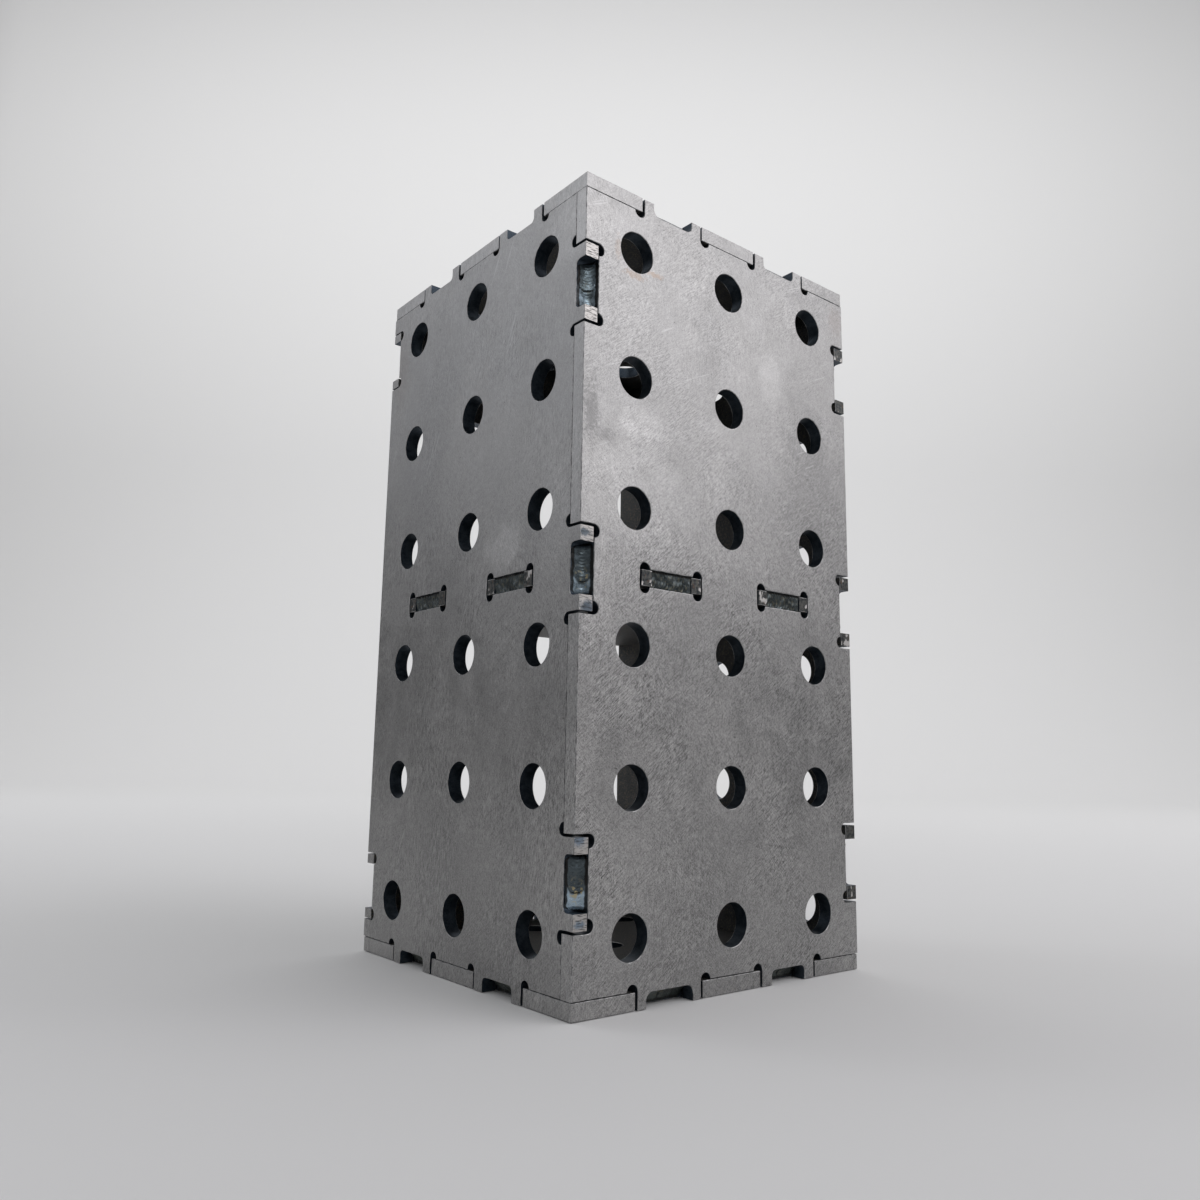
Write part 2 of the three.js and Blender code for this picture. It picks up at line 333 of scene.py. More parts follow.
class Nodes:
    """Short calls for a node material. place is the point and height its Z, in millimetres."""

    def __init__(self, name, metallic=1.0):
        self.material = bpy.data.materials.new(name)
        self.material.use_nodes = True
        self.tree = self.material.node_tree
        self.shader = self.tree.nodes["Principled BSDF"]
        self.shader.inputs["Metallic"].default_value = metallic
        coords = self.tree.nodes.new("ShaderNodeTexCoord")
        self.place = self.mapped(coords.outputs["Object"], scale=(1 / MM,) * 3)
        split = self.tree.nodes.new("ShaderNodeSeparateXYZ")
        self.link(self.place, split.inputs[0])
        self.height = split.outputs["Z"]

    def link(self, value, socket):
        if isinstance(value, bpy.types.NodeSocket):
            self.tree.links.new(value, socket)
        else:
            socket.default_value = value

    def mapped(self, vector, scale=(1, 1, 1), turn=(0, 0, 0), move=(0, 0, 0)):
        node = self.tree.nodes.new("ShaderNodeMapping")
        self.link(vector, node.inputs["Vector"])
        node.inputs["Scale"].default_value = scale
        node.inputs["Rotation"].default_value = turn
        node.inputs["Location"].default_value = move
        return node.outputs["Vector"]

    def noise(self, scale, detail=2.0, rough=0.5, vector=None, distortion=0.0):
        node = self.tree.nodes.new("ShaderNodeTexNoise")
        self.link(vector or self.place, node.inputs["Vector"])
        node.inputs["Scale"].default_value = scale
        node.inputs["Detail"].default_value = detail
        node.inputs["Roughness"].default_value = rough
        node.inputs["Distortion"].default_value = distortion
        return node.outputs["Fac"]

    def math(self, operation, a, b=0.0):
        node = self.tree.nodes.new("ShaderNodeMath")
        node.operation = operation
        self.link(a, node.inputs[0])
        self.link(b, node.inputs[1])
        return node.outputs[0]

    def blend(self, *weighted):
        """The sum of (value, weight) pairs."""
        total = None
        for value, weight in weighted:
            part = self.math("MULTIPLY", value, weight)
            total = self.math("ADD", total, part) if total else part
        return total

    def span(self, value, low, high, to_low=0.0, to_high=1.0):
        """Maps low..high smoothly to to_low..to_high."""
        node = self.tree.nodes.new("ShaderNodeMapRange")
        node.interpolation_type = "SMOOTHSTEP"
        self.link(value, node.inputs["Value"])
        keys = ("From Min", "From Max", "To Min", "To Max")
        for key, number in zip(keys, (low, high, to_low, to_high)):
            node.inputs[key].default_value = number
        return node.outputs["Result"]

    def mix(self, factor, a, b):
        node = self.tree.nodes.new("ShaderNodeMix")
        node.data_type = "RGBA"
        self.link(factor, node.inputs["Factor"])
        self.link(a, node.inputs[MIX_A])
        self.link(b, node.inputs[MIX_B])
        return node.outputs[MIX_RESULT]

    def scaled(self, colour, factor):
        """The colour multiplied by a number."""
        node = self.tree.nodes.new("ShaderNodeVectorMath")
        node.operation = "SCALE"
        self.link(colour, node.inputs[0])
        self.link(factor, node.inputs["Scale"])
        return node.outputs["Vector"]

    def bump(self, height, distance, strength=1.0):
        node = self.tree.nodes.new("ShaderNodeBump")
        self.link(height, node.inputs["Height"])
        node.inputs["Distance"].default_value = distance
        node.inputs["Strength"].default_value = strength
        return node.outputs["Normal"]

    def attribute(self, name):
        node = self.tree.nodes.new("ShaderNodeAttribute")
        node.attribute_name = name
        return node.outputs["Fac"]

    def near(self, centre, radii, ragged):
        """1 round a centre and 0 past the radii from it, both in millimetres. ragged, a noise
        about 0, pushes the border about."""
        scale = [1 / r for r in radii]
        local = self.mapped(self.place, scale=scale, move=[-c * k for c, k in zip(centre, scale)])
        node = self.tree.nodes.new("ShaderNodeVectorMath")
        node.operation = "LENGTH"
        self.link(local, node.inputs[0])
        return self.span(self.math("ADD", node.outputs["Value"], ragged), 0.35, 1.15, 1, 0)

    def set(self, **values):
        """Sets or links the shader's inputs, named with underscores."""
        for key, value in values.items():
            self.link(value, self.shader.inputs[key.replace("_", " ")])


def grey(value, warm=0.0):
    """A grey colour, or a slightly warm one."""
    return (value * (1 + warm), value, value * (1 - warm), 1)


# turns that lay a face's own plane in the texture's XY plane
FACING = {"front": (math.pi / 2, 0, 0), "side": (0, math.pi / 2, 0), "end": (0, 0, 0)}

# stains on each face: centre and radii in millimetres, colour, strength
STAINS = {
    "front": (
        ((-51, -74.75, 264.6), (6, 3, 1.9), (0.3, 0.19, 0.11, 1), 0.32),
        ((-41, -74.75, 268), (6, 3, 1.3), (0.3, 0.19, 0.11, 1), 0.38),
        ((-59.5, -74.75, 273), (1.6, 3, 5), (0.3, 0.19, 0.11, 1), 0.22),
        ((-71, -74.75, 206), (4, 3, 13), grey(0.13), 0.5),
        ((-66, -74.75, 199), (7, 3, 3), grey(0.16), 0.35),
        ((70, -74.75, 283), (6, 3, 8), (0.24, 0.2, 0.18, 1), 0.25),
    ),
    "side": (
        ((-74.75, 66, 262), (3, 9, 22), (0.27, 0.24, 0.22, 1), 0.25),
    ),
    "end": (),
}
# lighter and darker areas on each face, from the sanding, and a painted shade that darkens the lower
# part of the front and side faces: centre and radii in millimetres, change in lightness
SANDING_AND_SHADE_AREAS = {
    "front": (
        ((-62, -74.75, 285), (26, 9, 22), 0.05),
        ((-48, -74.75, 178), (34, 9, 28), 0.24),
        ((6, -74.75, 163), (26, 9, 8), 0.12),
        ((26, -74.75, 243), (8, 9, 14), 0.24),
        ((-5, -74.75, 297), (80, 9, 22), -0.13),
        ((-47, -74.75, 208), (14, 9, 8), 0.22),
        ((-6, -74.75, 192), (7, 9, 15), 0.18),
        ((-70, -74.75, 150), (7, 9, 26), 0.12),
        ((50, -74.75, 200), (24, 9, 38), -0.2),
        ((45, -74.75, 232), (16, 9, 14), -0.1),
        ((-10, -74.75, 250), (11, 9, 30), -0.13),
        ((55, -74.75, 255), (34, 9, 52), -0.1),
        # painted shade: the lower part of the face darker
        ((40, -74.75, 20), (80, 9, 60), -0.14),
    ),
    "side": (
        ((-74.75, -27, 164), (9, 15, 10), 0.42),
        ((-74.75, -60, 170), (9, 12, 26), 0.17),
        ((-74.75, -66, 280), (9, 16, 18), 0.2),
        ((-74.75, 30, 235), (9, 22, 30), -0.08),
        # painted shade: the lower part of the face darker
        ((-74.75, 20, 20), (9, 90, 60), -0.17),
    ),
    "end": (),
}
# sanding directions on each face: angle, seed, lines per millimetre across and along, strength
SANDING = {
    "front": ((0.7, 3, 2.6, 0.4, 1.0), (-0.8, 11, 2.7, 0.4, 0.6), (1.5, 23, 2.7, 0.3, 0.45)),
    "side": ((0.15, 5, 2.2, 0.3, 1.0), (0.9, 17, 2.2, 0.4, 0.5), (-0.7, 29, 2.2, 0.4, 0.5)),
    "end": ((0.5, 7, 2.2, 0.3, 1.0), (-0.9, 13, 2.2, 0.3, 0.6)),
}
GRAIN = {"front": 1.65, "side": 1.25, "end": 1.3}
SMOOTHER_ABOVE = (130, 215)  # heights in millimetres over which the grain fades


def sanding(n, flat, facing):
    """Short fine lines in several directions, each showing in patches. The mean value is 0."""
    total = None
    for angle, seed, across, along, strength in SANDING[facing]:
        turned = n.mapped(flat, turn=(0, 0, angle), move=(seed, seed * 1.7, 0))
        lines = n.noise(1.0, 2.0, 0.65, n.mapped(turned, scale=(along, across, 1)))
        patches = n.noise(0.035, 1.0, 0.5, n.mapped(flat, move=(seed * 5, -seed * 3, 0)))
        shown = n.span(patches, 0.36, 0.64, 0.35 * strength, 1.3 * strength)
        layer = n.math("MULTIPLY", n.math("SUBTRACT", lines, 0.5), shown)
        total = n.math("ADD", total, layer) if total else layer
    return total


def scratches(n, flat):
    """A few long, thin, pale scratches."""
    turned = n.mapped(flat, turn=(0, 0, 0.45), move=(4, 4, 0))
    lines = n.noise(1.0, 1.0, 0.5, n.mapped(turned, scale=(0.035, 1.3, 1)), distortion=0.35)
    patches = n.noise(0.05, 1.0, 0.5, n.mapped(flat, move=(-4, 8, 0)))
    return n.math("MULTIPLY", n.span(lines, 0.69, 0.74), n.span(patches, 0.5, 0.62))


def sanded_steel(name, facing, light=0.36):
    """Bare mild steel finished with a hand-held sander. light is its mean brightness."""
    n = Nodes(name)
    flat = n.mapped(n.place, turn=FACING[facing])
    cloud = n.noise(0.02, 4.0, 0.55)
    patch = n.noise(0.09, 5.0, 0.6, distortion=0.6)
    speck = n.noise(0.45, 3.0, 0.65)
    grain = n.noise(2.4, 2.0, 0.6)
    painted_glints = n.noise(2.2, 1.0, 0.5, n.mapped(flat, turn=(0, 0, 0.7), scale=(0.6, 1.6, 1)))
    tone = n.blend((cloud, 0.55), (patch, 0.3), (speck, 0.15))
    colour = n.mix(n.span(tone, 0.36, 0.64), grey(light * 0.9, 0.008), grey(light * 1.1, 0.012))
    wander = n.math("MULTIPLY", n.math("SUBTRACT", n.noise(0.12, 4.0, 0.6), 0.5), 1.6)
    # lighter sanded patches and darker areas, with a painted shade low on the front and side faces
    for centre, radii, change in SANDING_AND_SHADE_AREAS[facing]:
        area = n.near(centre, radii, wander)
        shade = grey(light * 1.55, 0.01) if change > 0 else grey(light * 0.5)
        colour = n.mix(n.math("MULTIPLY", area, abs(change) * 1.3), colour, shade)
    texture = n.blend((n.math("SUBTRACT", grain, 0.5), 0.9), (sanding(n, flat, facing), 1.1))
    depth = n.span(n.height, *SMOOTHER_ABOVE, GRAIN[facing], GRAIN[facing] * 0.55)
    colour = n.scaled(colour, n.math("ADD", n.math("MULTIPLY", texture, depth), 1.0))
    # pale scratches, and painted glints: small bright spots of painted highlight in the colour
    bright = n.math("MAXIMUM", scratches(n, flat), n.span(painted_glints, 0.63, 0.74, 0, 0.9))
    colour = n.mix(n.math("MULTIPLY", bright, 0.35), colour, grey(light * 1.8))
    pits = n.noise(0.9, 2.0, 0.5)
    colour = n.mix(n.span(pits, 0.71, 0.77, 0, 0.6), colour, grey(0.06))
    ragged = n.math("MULTIPLY", n.math("SUBTRACT", n.noise(0.7, 4.0, 0.7), 0.5), 2.6)
    for centre, radii, stain, strength in STAINS[facing]:
        area = n.near(centre, radii, ragged)
        colour = n.mix(n.math("MULTIPLY", area, strength), colour, stain)
    gloss = n.blend((patch, 0.5), (grain, 0.25), (cloud, 0.25))
    n.set(
        Base_Color=colour,
        Roughness=n.span(gloss, 0.34, 0.66, 0.37, 0.5),
        Normal=n.bump(texture, 0.05 * MM, 0.6),
    )
    return n.material


def cut_steel():
    """Laser-cut edge with a blue-black oxide."""
    n = Nodes("laser_cut_edge", 0.85)
    tone = n.blend((n.noise(0.4, 4.0, 0.6), 0.6), (n.noise(2.2, 2.0, 0.6), 0.4))
    colour = n.mix(n.span(tone, 0.35, 0.65), (0.026, 0.037, 0.052, 1), (0.07, 0.088, 0.108, 1))
    n.set(
        Base_Color=colour,
        Roughness=n.span(tone, 0.3, 0.7, 0.4, 0.6),
        Normal=n.bump(tone, 0.08 * MM, 0.7),
    )
    return n.material


def worn_edge():
    """The broken edge round every cut, rubbed brighter in places."""
    n = Nodes("worn_edge")
    wear = n.noise(0.35, 4.0, 0.65)
    colour = n.mix(n.span(wear, 0.38, 0.62), grey(0.2), grey(0.5))
    n.set(Base_Color=colour, Roughness=n.span(wear, 0.3, 0.7, 0.34, 0.5))
    return n.material


def mill_scale_and_shade():
    """The unsanded inner faces: dull mill scale with fine brown specks, painted darker still as the
    shade inside the column.
    """
    n = Nodes("mill_scale_painted_dark", 0.6)
    blotch = n.noise(0.05, 5.0, 0.6)
    grain = n.noise(1.2, 3.0, 0.7)
    tone = n.blend((blotch, 0.6), (grain, 0.4))
    # dark mill scale, with painted shade making it darker still
    colour = n.mix(n.span(tone, 0.36, 0.64), (0.04, 0.043, 0.046, 1), (0.10, 0.101, 0.1, 1))
    brown = n.noise(1.6, 2.0, 0.6, n.mapped(n.place, move=(4, 9, 2)))
    colour = n.mix(n.span(brown, 0.53, 0.64, 0, 0.6), colour, (0.21, 0.175, 0.125, 1))
    n.set(
        Base_Color=colour,
        Roughness=n.span(tone, 0.3, 0.7, 0.5, 0.7),
        Normal=n.bump(grain, 0.05 * MM, 0.5),
    )
    return n.material


# blue heat tints on the filed tips of the near corner: centre and radii in millimetres, colour
BLUED = (
    ((-73, -74.75, 57), (3.6, 3, 2.4), (0.2, 0.26, 0.33, 1)),
    ((-71, -74.75, 135.2), (4.4, 3, 3), (0.09, 0.12, 0.155, 1)),
    ((-73, -74.75, 161.5), (3.6, 3, 1.8), (0.1, 0.125, 0.15, 1)),
    ((-72, -74.75, 30), (3, 3, 1.5), (0.2, 0.26, 0.33, 1)),
)


def filed_tip():
    """A tab's end, ground bright with coarse level file marks and a blue heat tint in places."""
    n = Nodes("filed_tip")
    level = n.noise(1.0, 3.0, 0.7, n.mapped(n.place, scale=(0.35, 0.35, 2.6)))
    ragged = n.math("MULTIPLY", n.math("SUBTRACT", n.noise(0.8, 3.0, 0.6), 0.5), 1.4)
    colour = grey(0.5, 0.035)
    for centre, radii, tint in BLUED:
        area = n.near(centre, radii, ragged)
        colour = n.mix(n.math("MULTIPLY", area, 0.9), colour, tint)
    colour = n.mix(n.span(level, 0.49, 0.63, 0, 0.85), colour, grey(0.06))
    n.set(
        Base_Color=colour,
        Roughness=n.span(level, 0.3, 0.7, 0.36, 0.55),
        Normal=n.bump(level, 0.12 * MM, 0.8),
    )
    return n.material


def scorched_tip():
    """The mid plate's tab ends beside the welds: dark heat scale, ground bright in spots."""
    n = Nodes("scorched_tip", 0.9)
    tone = n.noise(0.8, 4.0, 0.65)
    colour = n.mix(n.span(tone, 0.38, 0.62), (0.038, 0.043, 0.047, 1), (0.13, 0.13, 0.122, 1))
    spots = n.noise(0.33, 2.0, 0.5, n.mapped(n.place, scale=(1, 1, 0.7), move=(3.1, 0, 0.4)))
    colour = n.mix(n.span(spots, 0.6, 0.64), colour, grey(0.55, 0.03))
    rust = n.noise(0.5, 4.0, 0.6, n.mapped(n.place, move=(7, 3, 1)))
    colour = n.mix(n.span(rust, 0.56, 0.7, 0, 0.6), colour, (0.16, 0.095, 0.06, 1))
    n.set(
        Base_Color=colour,
        Roughness=n.span(tone, 0.3, 0.7, 0.34, 0.6),
        Normal=n.bump(tone, 0.15 * MM, 0.8),
    )
    return n.material


def weld_metal(name, dark, pale, straw_amount, shade_amount=0.94):
    """As-welded bead. pool is 0 in its dark upper part and 1 in the paler lower one, core is 1
    along its middle, and the shade layer is 1 at its borders and creases, where painted shade
    turns the colour near black."""
    n = Nodes(name, 0.85)
    tint = n.noise(0.35, 4.0, 0.6)
    spots = n.noise(0.8, 3.0, 0.6)
    shade = n.math("ADD", n.attribute("pool"), n.math("MULTIPLY", n.math("SUBTRACT", tint, 0.5), 1.5))
    colour = n.mix(n.span(shade, 0.15, 0.95), dark, pale)
    straw = n.math("MULTIPLY", n.span(spots, 0.53, 0.62), n.attribute("core"))
    colour = n.mix(n.math("MULTIPLY", straw, straw_amount), colour, (0.5, 0.42, 0.24, 1))
    # painted shade: near black along the bead's borders, ends and creases
    toe_shade = n.span(n.attribute("toe_shade"), 0.2, 0.8, 0, shade_amount)
    colour = n.mix(toe_shade, colour, (0.016, 0.015, 0.014, 1))
    n.set(
        Base_Color=colour,
        Roughness=n.span(spots, 0.3, 0.7, 0.24, 0.44),
        Normal=n.bump(n.blend((spots, 0.6), (n.noise(2.0, 2.0, 0.6), 0.4)), 0.1 * MM, 0.5),
    )
    return n.material


MATERIALS = {
    "sanded_front": sanded_steel("sanded_front", "front"),
    "sanded_side": sanded_steel("sanded_side", "side"),
    "sanded_end": sanded_steel("sanded_end", "end"),
    "sanded_edge": sanded_steel("sanded_edge", "side", 0.41),
    "filed_tip": filed_tip(),
    "scorched_tip": scorched_tip(),
    "cut": cut_steel(),
    "worn": worn_edge(),
    "mill": mill_scale_and_shade(),
    "corner_weld": weld_metal(
        "corner_weld", (0.085, 0.105, 0.115, 1), (0.42, 0.53, 0.62, 1), 0.9
    ),
    "dark_weld": weld_metal("dark_weld", (0.055, 0.066, 0.068, 1), (0.125, 0.145, 0.15, 1), 0.22),
    "end_weld": weld_metal("end_weld", (0.05, 0.062, 0.058, 1), (0.13, 0.15, 0.142, 1), 0.5, 0.75),
}


def kinds(outer, **walls):
    """The material of each kind of a plate's faces: the usual ones, changed by walls."""
    base = {"inner": "mill", "cut": "cut", "break": "worn", "tip": "sanded_end"}
    return {**base, "outer": outer, **walls}


# ---------- the plates ----------
def put(piece, node):
    """Lets a piece stand for its CAD node."""
    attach(piece, "root")
    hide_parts(node)


def front_plate():
    uprights = notches(CORNER_TABS, NOTCH, REACH)
    outer = rectangle(
        (-HALF, BODY_BOTTOM), (HALF, BODY_TOP), ("cut", "side", "cut", "side"),
        (
            tabs(END_TABS, TAB, (WIDE_BOTTOM_POCKET, POCKET)),
            uprights,
            tabs(END_TABS, TAB, (POCKET, WIDE_TOP_POCKET), TOP_REACH),
            uprights,
        ),
    )
    holes = grid(COLUMNS, ROWS, MID_Z) + [slot_hole(x, MID_Z) for x in END_TABS]
    walls = kinds("sanded_front", side="sanded_edge")
    return plate("front_panel", outer, holes, lambda u, v, d: (u, -HALF + d, v), walls, 0.28 * MM)


def side_plate(name, sign):
    reach = HALF - SIDE_FRONT
    shift = reach / 2  # from the column's middle to the plate's
    outer = rectangle(
        (-SIDE_FRONT, BODY_BOTTOM), (HALF, BODY_TOP), ("cut", "back", "cut", "cut"),
        (
            tabs([y - shift for y in END_TABS], TAB, (POCKET,)),
            notches((-BAR_MID, BAR_MID), BAR_NOTCH, REACH),
            tabs([y + shift for y in END_TABS], TAB, (POCKET,), TOP_REACH),
            tabs(CORNER_TABS, TAB, (POCKET,), reach, reach),
        ),
    )
    holes = grid(COLUMNS, ROWS, MID_Z) + [slot_hole(y, MID_Z) for y in END_TABS]
    tip = "filed_tip" if sign < 0 else "scorched_tip"
    walls = kinds("sanded_side", back="sanded_front", tip=tip)
    return plate(name, outer, holes, lambda u, v, d: (sign * (HALF - d), u, v), walls, 0.15 * MM)


def end_plate(name, is_top):
    side = notches(END_TABS, NOTCH, END_HALF - INNER)
    outer = rectangle(
        (-END_HALF, -END_HALF), (END_HALF, END_HALF), ("front", "side") * 2, (side,) * 4
    )
    walls = kinds("sanded_end", side="sanded_edge", front="sanded_front")
    return plate(
        name, outer, grid(COLUMNS, COLUMNS, 0),
        lambda u, v, d: (u, v, HEIGHT - d if is_top else d), walls, 0.3 * MM,
    )


def back_bar(name, is_top):
    bottom = BODY_TOP - BAR_HEIGHT if is_top else BODY_BOTTOM
    sides = tabs((0,), BAR_TAB, (POCKET,))
    outer = rectangle(
        (-INNER, bottom), (INNER, bottom + BAR_HEIGHT), ("cut",) * 4,
        (
            None if is_top else tabs(END_TABS, TAB, (POCKET,)),
            sides,
            tabs(END_TABS, TAB, (POCKET,), TOP_REACH) if is_top else None,
            sides,
        ),
    )
    holes = grid(COLUMNS, ROWS[-1:] if is_top else ROWS[:1], MID_Z)
    walls = kinds("sanded_front", tip="sanded_side")
    return plate(name, outer, holes, lambda u, v, d: (u, HALF - d, v), walls)


def mid_plate():
    shift = (HALF - INNER) / 2  # from the column's middle to the plate's
    outer = rectangle(
        (-INNER, -INNER), (INNER, HALF), ("cut",) * 4,
        (
            tabs(END_TABS, TAB, (SLOT_POCKET,)),
            tabs([y - shift for y in END_TABS], TAB, (SLOT_POCKET,)),
            None,
            tabs([y + shift for y in END_TABS], TAB, (SLOT_POCKET,)),
        ),
    )
    walls = kinds("mill", tip="scorched_tip")
    return plate("shelf", outer, [], lambda u, v, d: (u, v, MID_Z + PLATE / 2 - d), walls)


put(front_plate(), "front_plate")
put(side_plate("left_panel", -1), "left_plate")
put(side_plate("right_panel", 1), "right_plate")
put(end_plate("top_panel", True), "top_plate")
put(end_plate("bottom_panel", False), "bottom_plate")
put(back_bar("upper_bar", True), "back_bar_upper")
put(back_bar("lower_bar", False), "back_bar_lower")
put(mid_plate(), "mid_plate")


# ---------- the welds ----------
POCKET_FLOOR = HALF - POCKET[1]
ALONG_STEPS = 96
ACROSS_STEPS = 24
WELD_SHARP = math.radians(75)
LAYERS = ("toe_shade", "pool", "core")  # what weld_metal reads
END_CLEARANCE = 0.4 * MM  # between a bead's ends and its pocket's, together
BACK_CLEARANCE = 0.02 * MM  # between a bead and the two walls behind it
FACE_CLEARANCE = 0.05 * MM  # between a bead and the outer faces
LEG_WANDER = 0.4 * MM
END_TAPER = 1.8 * MM
CREASE_SAG = 3.2 * MM  # how far the crease hangs down in the middle of a bead
LAP_HEIGHT = 0.4 * MM  # of the upper pool's lip over the lower pool
RIPPLE_PITCH = 1.15 * MM
RIPPLE_HEIGHT = 0.045 * MM
LUMP_HEIGHT = 0.2 * MM


def wobble(x, y, z):
    """Smooth noise about 0, the same in every run."""
    return noise.noise(Vector((x, y, z)))


def smooth(low, high, value):
    t = min(1.0, max(0.0, (value - low) / (high - low)))
    return t * t * (3 - 2 * t)


def skin(bm, rows):
    """Joins rows of vertices into a closed tube with capped ends."""
    for a, b in zip(rows, rows[1:]):
        count = len(a)
        for j in range(count):
            k = (j + 1) % count
            bm.faces.new((a[j], a[k], b[k], b[j]))
    bm.faces.new(rows[0])
    bm.faces.new(rows[-1])
    bmesh.ops.recalc_face_normals(bm, faces=bm.faces)


def bead(name, corner, first, second, length, form, look, seed):
    """A bead in the corner between two walls, with its legs along first and second. An upper pool
    of weld metal overlaps a lower one along a U-shaped crease. form holds the legs' lengths, how
    far the middle stands from the corner, and the material. look holds where along the length the
    crease lies, how pale the upper and lower pools are, and how much straw colour shows."""
    legs, throat, material = form
    crease_at, upper_pale, lower_pale, straw = look
    third = first.cross(second)
    up = 1 if third.z >= 0 else -1
    bm = bmesh.new()
    layers = {key: bm.verts.layers.float.new(key) for key in LAYERS}
    crease = (crease_at + 0.06 * wobble(seed, 2.2, 0.7)) * length
    rows = []
    for i in range(ALONG_STEPS + 1):
        t = i / ALONG_STEPS
        z = (t - 0.5) * length
        from_end = min(t, 1 - t) * length
        taper = 0.62 + 0.38 * math.sqrt(min(1.0, from_end / END_TAPER))
        row = []
        for j in range(ACROSS_STEPS + 1):
            s = j / ACROSS_STEPS
            wander = wobble(z / (3.5 * MM), seed, s * 1.3) * LEG_WANDER
            leg_a = legs[0] * taper + wander * (1 - s)
            leg_b = legs[1] * taper - wander * s
            flat = leg_a * leg_b / math.hypot(leg_a, leg_b)
            dip = (flat - throat * taper) * math.sin(math.pi * s) ** 0.8
            out = Vector((leg_b, leg_a)).normalized()
            bow = 1 - 4 * (s - 0.5) ** 2
            cup = math.sqrt(max(0.0, 1 - ((s - 0.5) / 0.38) ** 2))
            height = z * up + CREASE_SAG * cup
            ripple = RIPPLE_HEIGHT * math.sin(2 * math.pi * (height / RIPPLE_PITCH + seed))
            ripple *= (0.6 + 0.6 * wobble(z / (3 * MM), seed * 2.3, 4.0)) * bow
            past = height - crease - CREASE_SAG + wobble(s * 3, seed, z / MM * 0.2) * 0.5 * MM
            lap = LAP_HEIGHT * smooth(-0.15 * MM, 0.35 * MM, past) * smooth(6 * MM, 0.5 * MM, past)
            lump = LUMP_HEIGHT * wobble(z / (2.6 * MM), s * 2.5, seed * 1.7)
            spot = Vector((leg_a * (1 - s), leg_b * s)) + out * (ripple + lump + lap * bow - dip)
            spot.x = min(max(spot.x, BACK_CLEARANCE), REACH - FACE_CLEARANCE)
            spot.y = min(max(spot.y, BACK_CLEARANCE), POCKET[1] - FACE_CLEARANCE)
            vert = bm.verts.new(corner + first * spot.x + second * spot.y + third * z)
            # painted shade along the bead's borders and ends, and along the crease under the upper
            # pool's lip
            uneven = 0.05 * wobble(z / (1.6 * MM), seed, s)
            border = max(smooth(0.2, 0.07, s + uneven), smooth(0.78, 0.92, s + uneven))
            border = max(border, smooth(1.3 * MM, 0.3 * MM, from_end + wander))
            vert[layers["toe_shade"]] = max(border, math.exp(-(past / (0.3 * MM)) ** 2) * bow * 0.8)
            below = smooth(0.1 * MM, -1.2 * MM, past)
            vert[layers["pool"]] = upper_pale + (lower_pale - upper_pale) * below
            mid = math.exp(-(past / (3.4 * MM)) ** 2) * smooth(0.5, 0.95, bow)
            vert[layers["core"]] = straw * mid
            row.append(vert)
        row.append(bm.verts.new(corner + (first + second) * BACK_CLEARANCE + third * z))
        rows.append(row)
    skin(bm, rows)
    return finish_mesh(name, bm, [MATERIALS[material]], WELD_SHARP)


AXIS = {
    "left": Vector((-1, 0, 0)), "right": Vector((1, 0, 0)), "front": Vector((0, -1, 0)),
    "back": Vector((0, 1, 0)), "bottom": Vector((0, 0, -1)), "top": Vector((0, 0, 1)),
}
# legs, throat, material
CORNER_FORM = ((5.9 * MM, 5.1 * MM), 2.7 * MM, "corner_weld")
END_FORM = ((5.3 * MM, 4.9 * MM), 2.8 * MM, "end_weld")
# where the crease lies, how pale the upper and lower pools are, how much straw shows
LOOKS = {
    "lower": (-0.16, 0.12, 1.0, 1.0),
    "middle": (-0.22, 0.14, 0.6, 1.0),
    "upper": (-0.14, 0.3, 0.42, 0.15),
}
END_LOOK = (-0.1, 0.4, 0.8, 0.5)


def weld(node, corner, first, second, pocket, form, look, seed):
    length = pocket[0] - END_CLEARANCE
    name = "bead_" + node[len("weld_"):]
    put(bead(name, corner, first, second, length, form, look, seed), node)


for side, sign in (("left", -1), ("right", 1)):
    for level, rise in zip(LOOKS, CORNER_TABS):
        corner = Vector((sign * INNER, -POCKET_FLOOR, MID_Z + rise))
        seed = sign * 2.3 + rise / (40 * MM)
        node = f"weld_front_{side}_{level}"
        weld(node, corner, AXIS[side], AXIS["front"], POCKET, CORNER_FORM, LOOKS[level], seed)
    for level, rise in (("lower", -BAR_MID), ("upper", BAR_MID)):
        corner = Vector((sign * POCKET_FLOOR, INNER, MID_Z + rise))
        seed = sign * 3.1 + rise / (55 * MM)
        node = f"weld_back_{side}_{level}"
        weld(node, corner, AXIS["back"], AXIS[side], POCKET, CORNER_FORM, LOOKS[level], seed)

WIDE_POCKETS = {("bottom", "front", 1): WIDE_BOTTOM_POCKET, ("top", "front", 1): WIDE_TOP_POCKET}
for end in ("bottom", "top"):
    for turn, side in enumerate(("front", "back", "left", "right")):
        across = AXIS["right"] if side in ("front", "back") else AXIS["back"]
        for number, offset in enumerate(END_TABS, 1):
            corner = AXIS[side] * INNER + across * offset
            corner.z = HEIGHT - POCKET[1] if end == "top" else POCKET[1]
            pocket = WIDE_POCKETS.get((end, side, number), POCKET)
            seed = 1.7 * turn + 0.9 * number + (5 if end == "top" else 0)
            node = f"weld_{end}_{side}_{number}"
            weld(node, corner, AXIS[side], AXIS[end], pocket, END_FORM, END_LOOK, seed)


PLUG_CLEARANCE = 0.1 * MM  # between a plug and its pocket's walls
PLUG_DEPTH = 1.15 * MM  # of a plug's face below the plate's
SHALLOWEST = 0.15 * MM
PLUG_RIPPLE_PITCH = 1.6 * MM
PLUG_RIPPLE_HEIGHT = 0.09 * MM
PLUG_LUMP_HEIGHT = 0.4 * MM
PLUG_BACK_BEVEL = 0.3 * MM


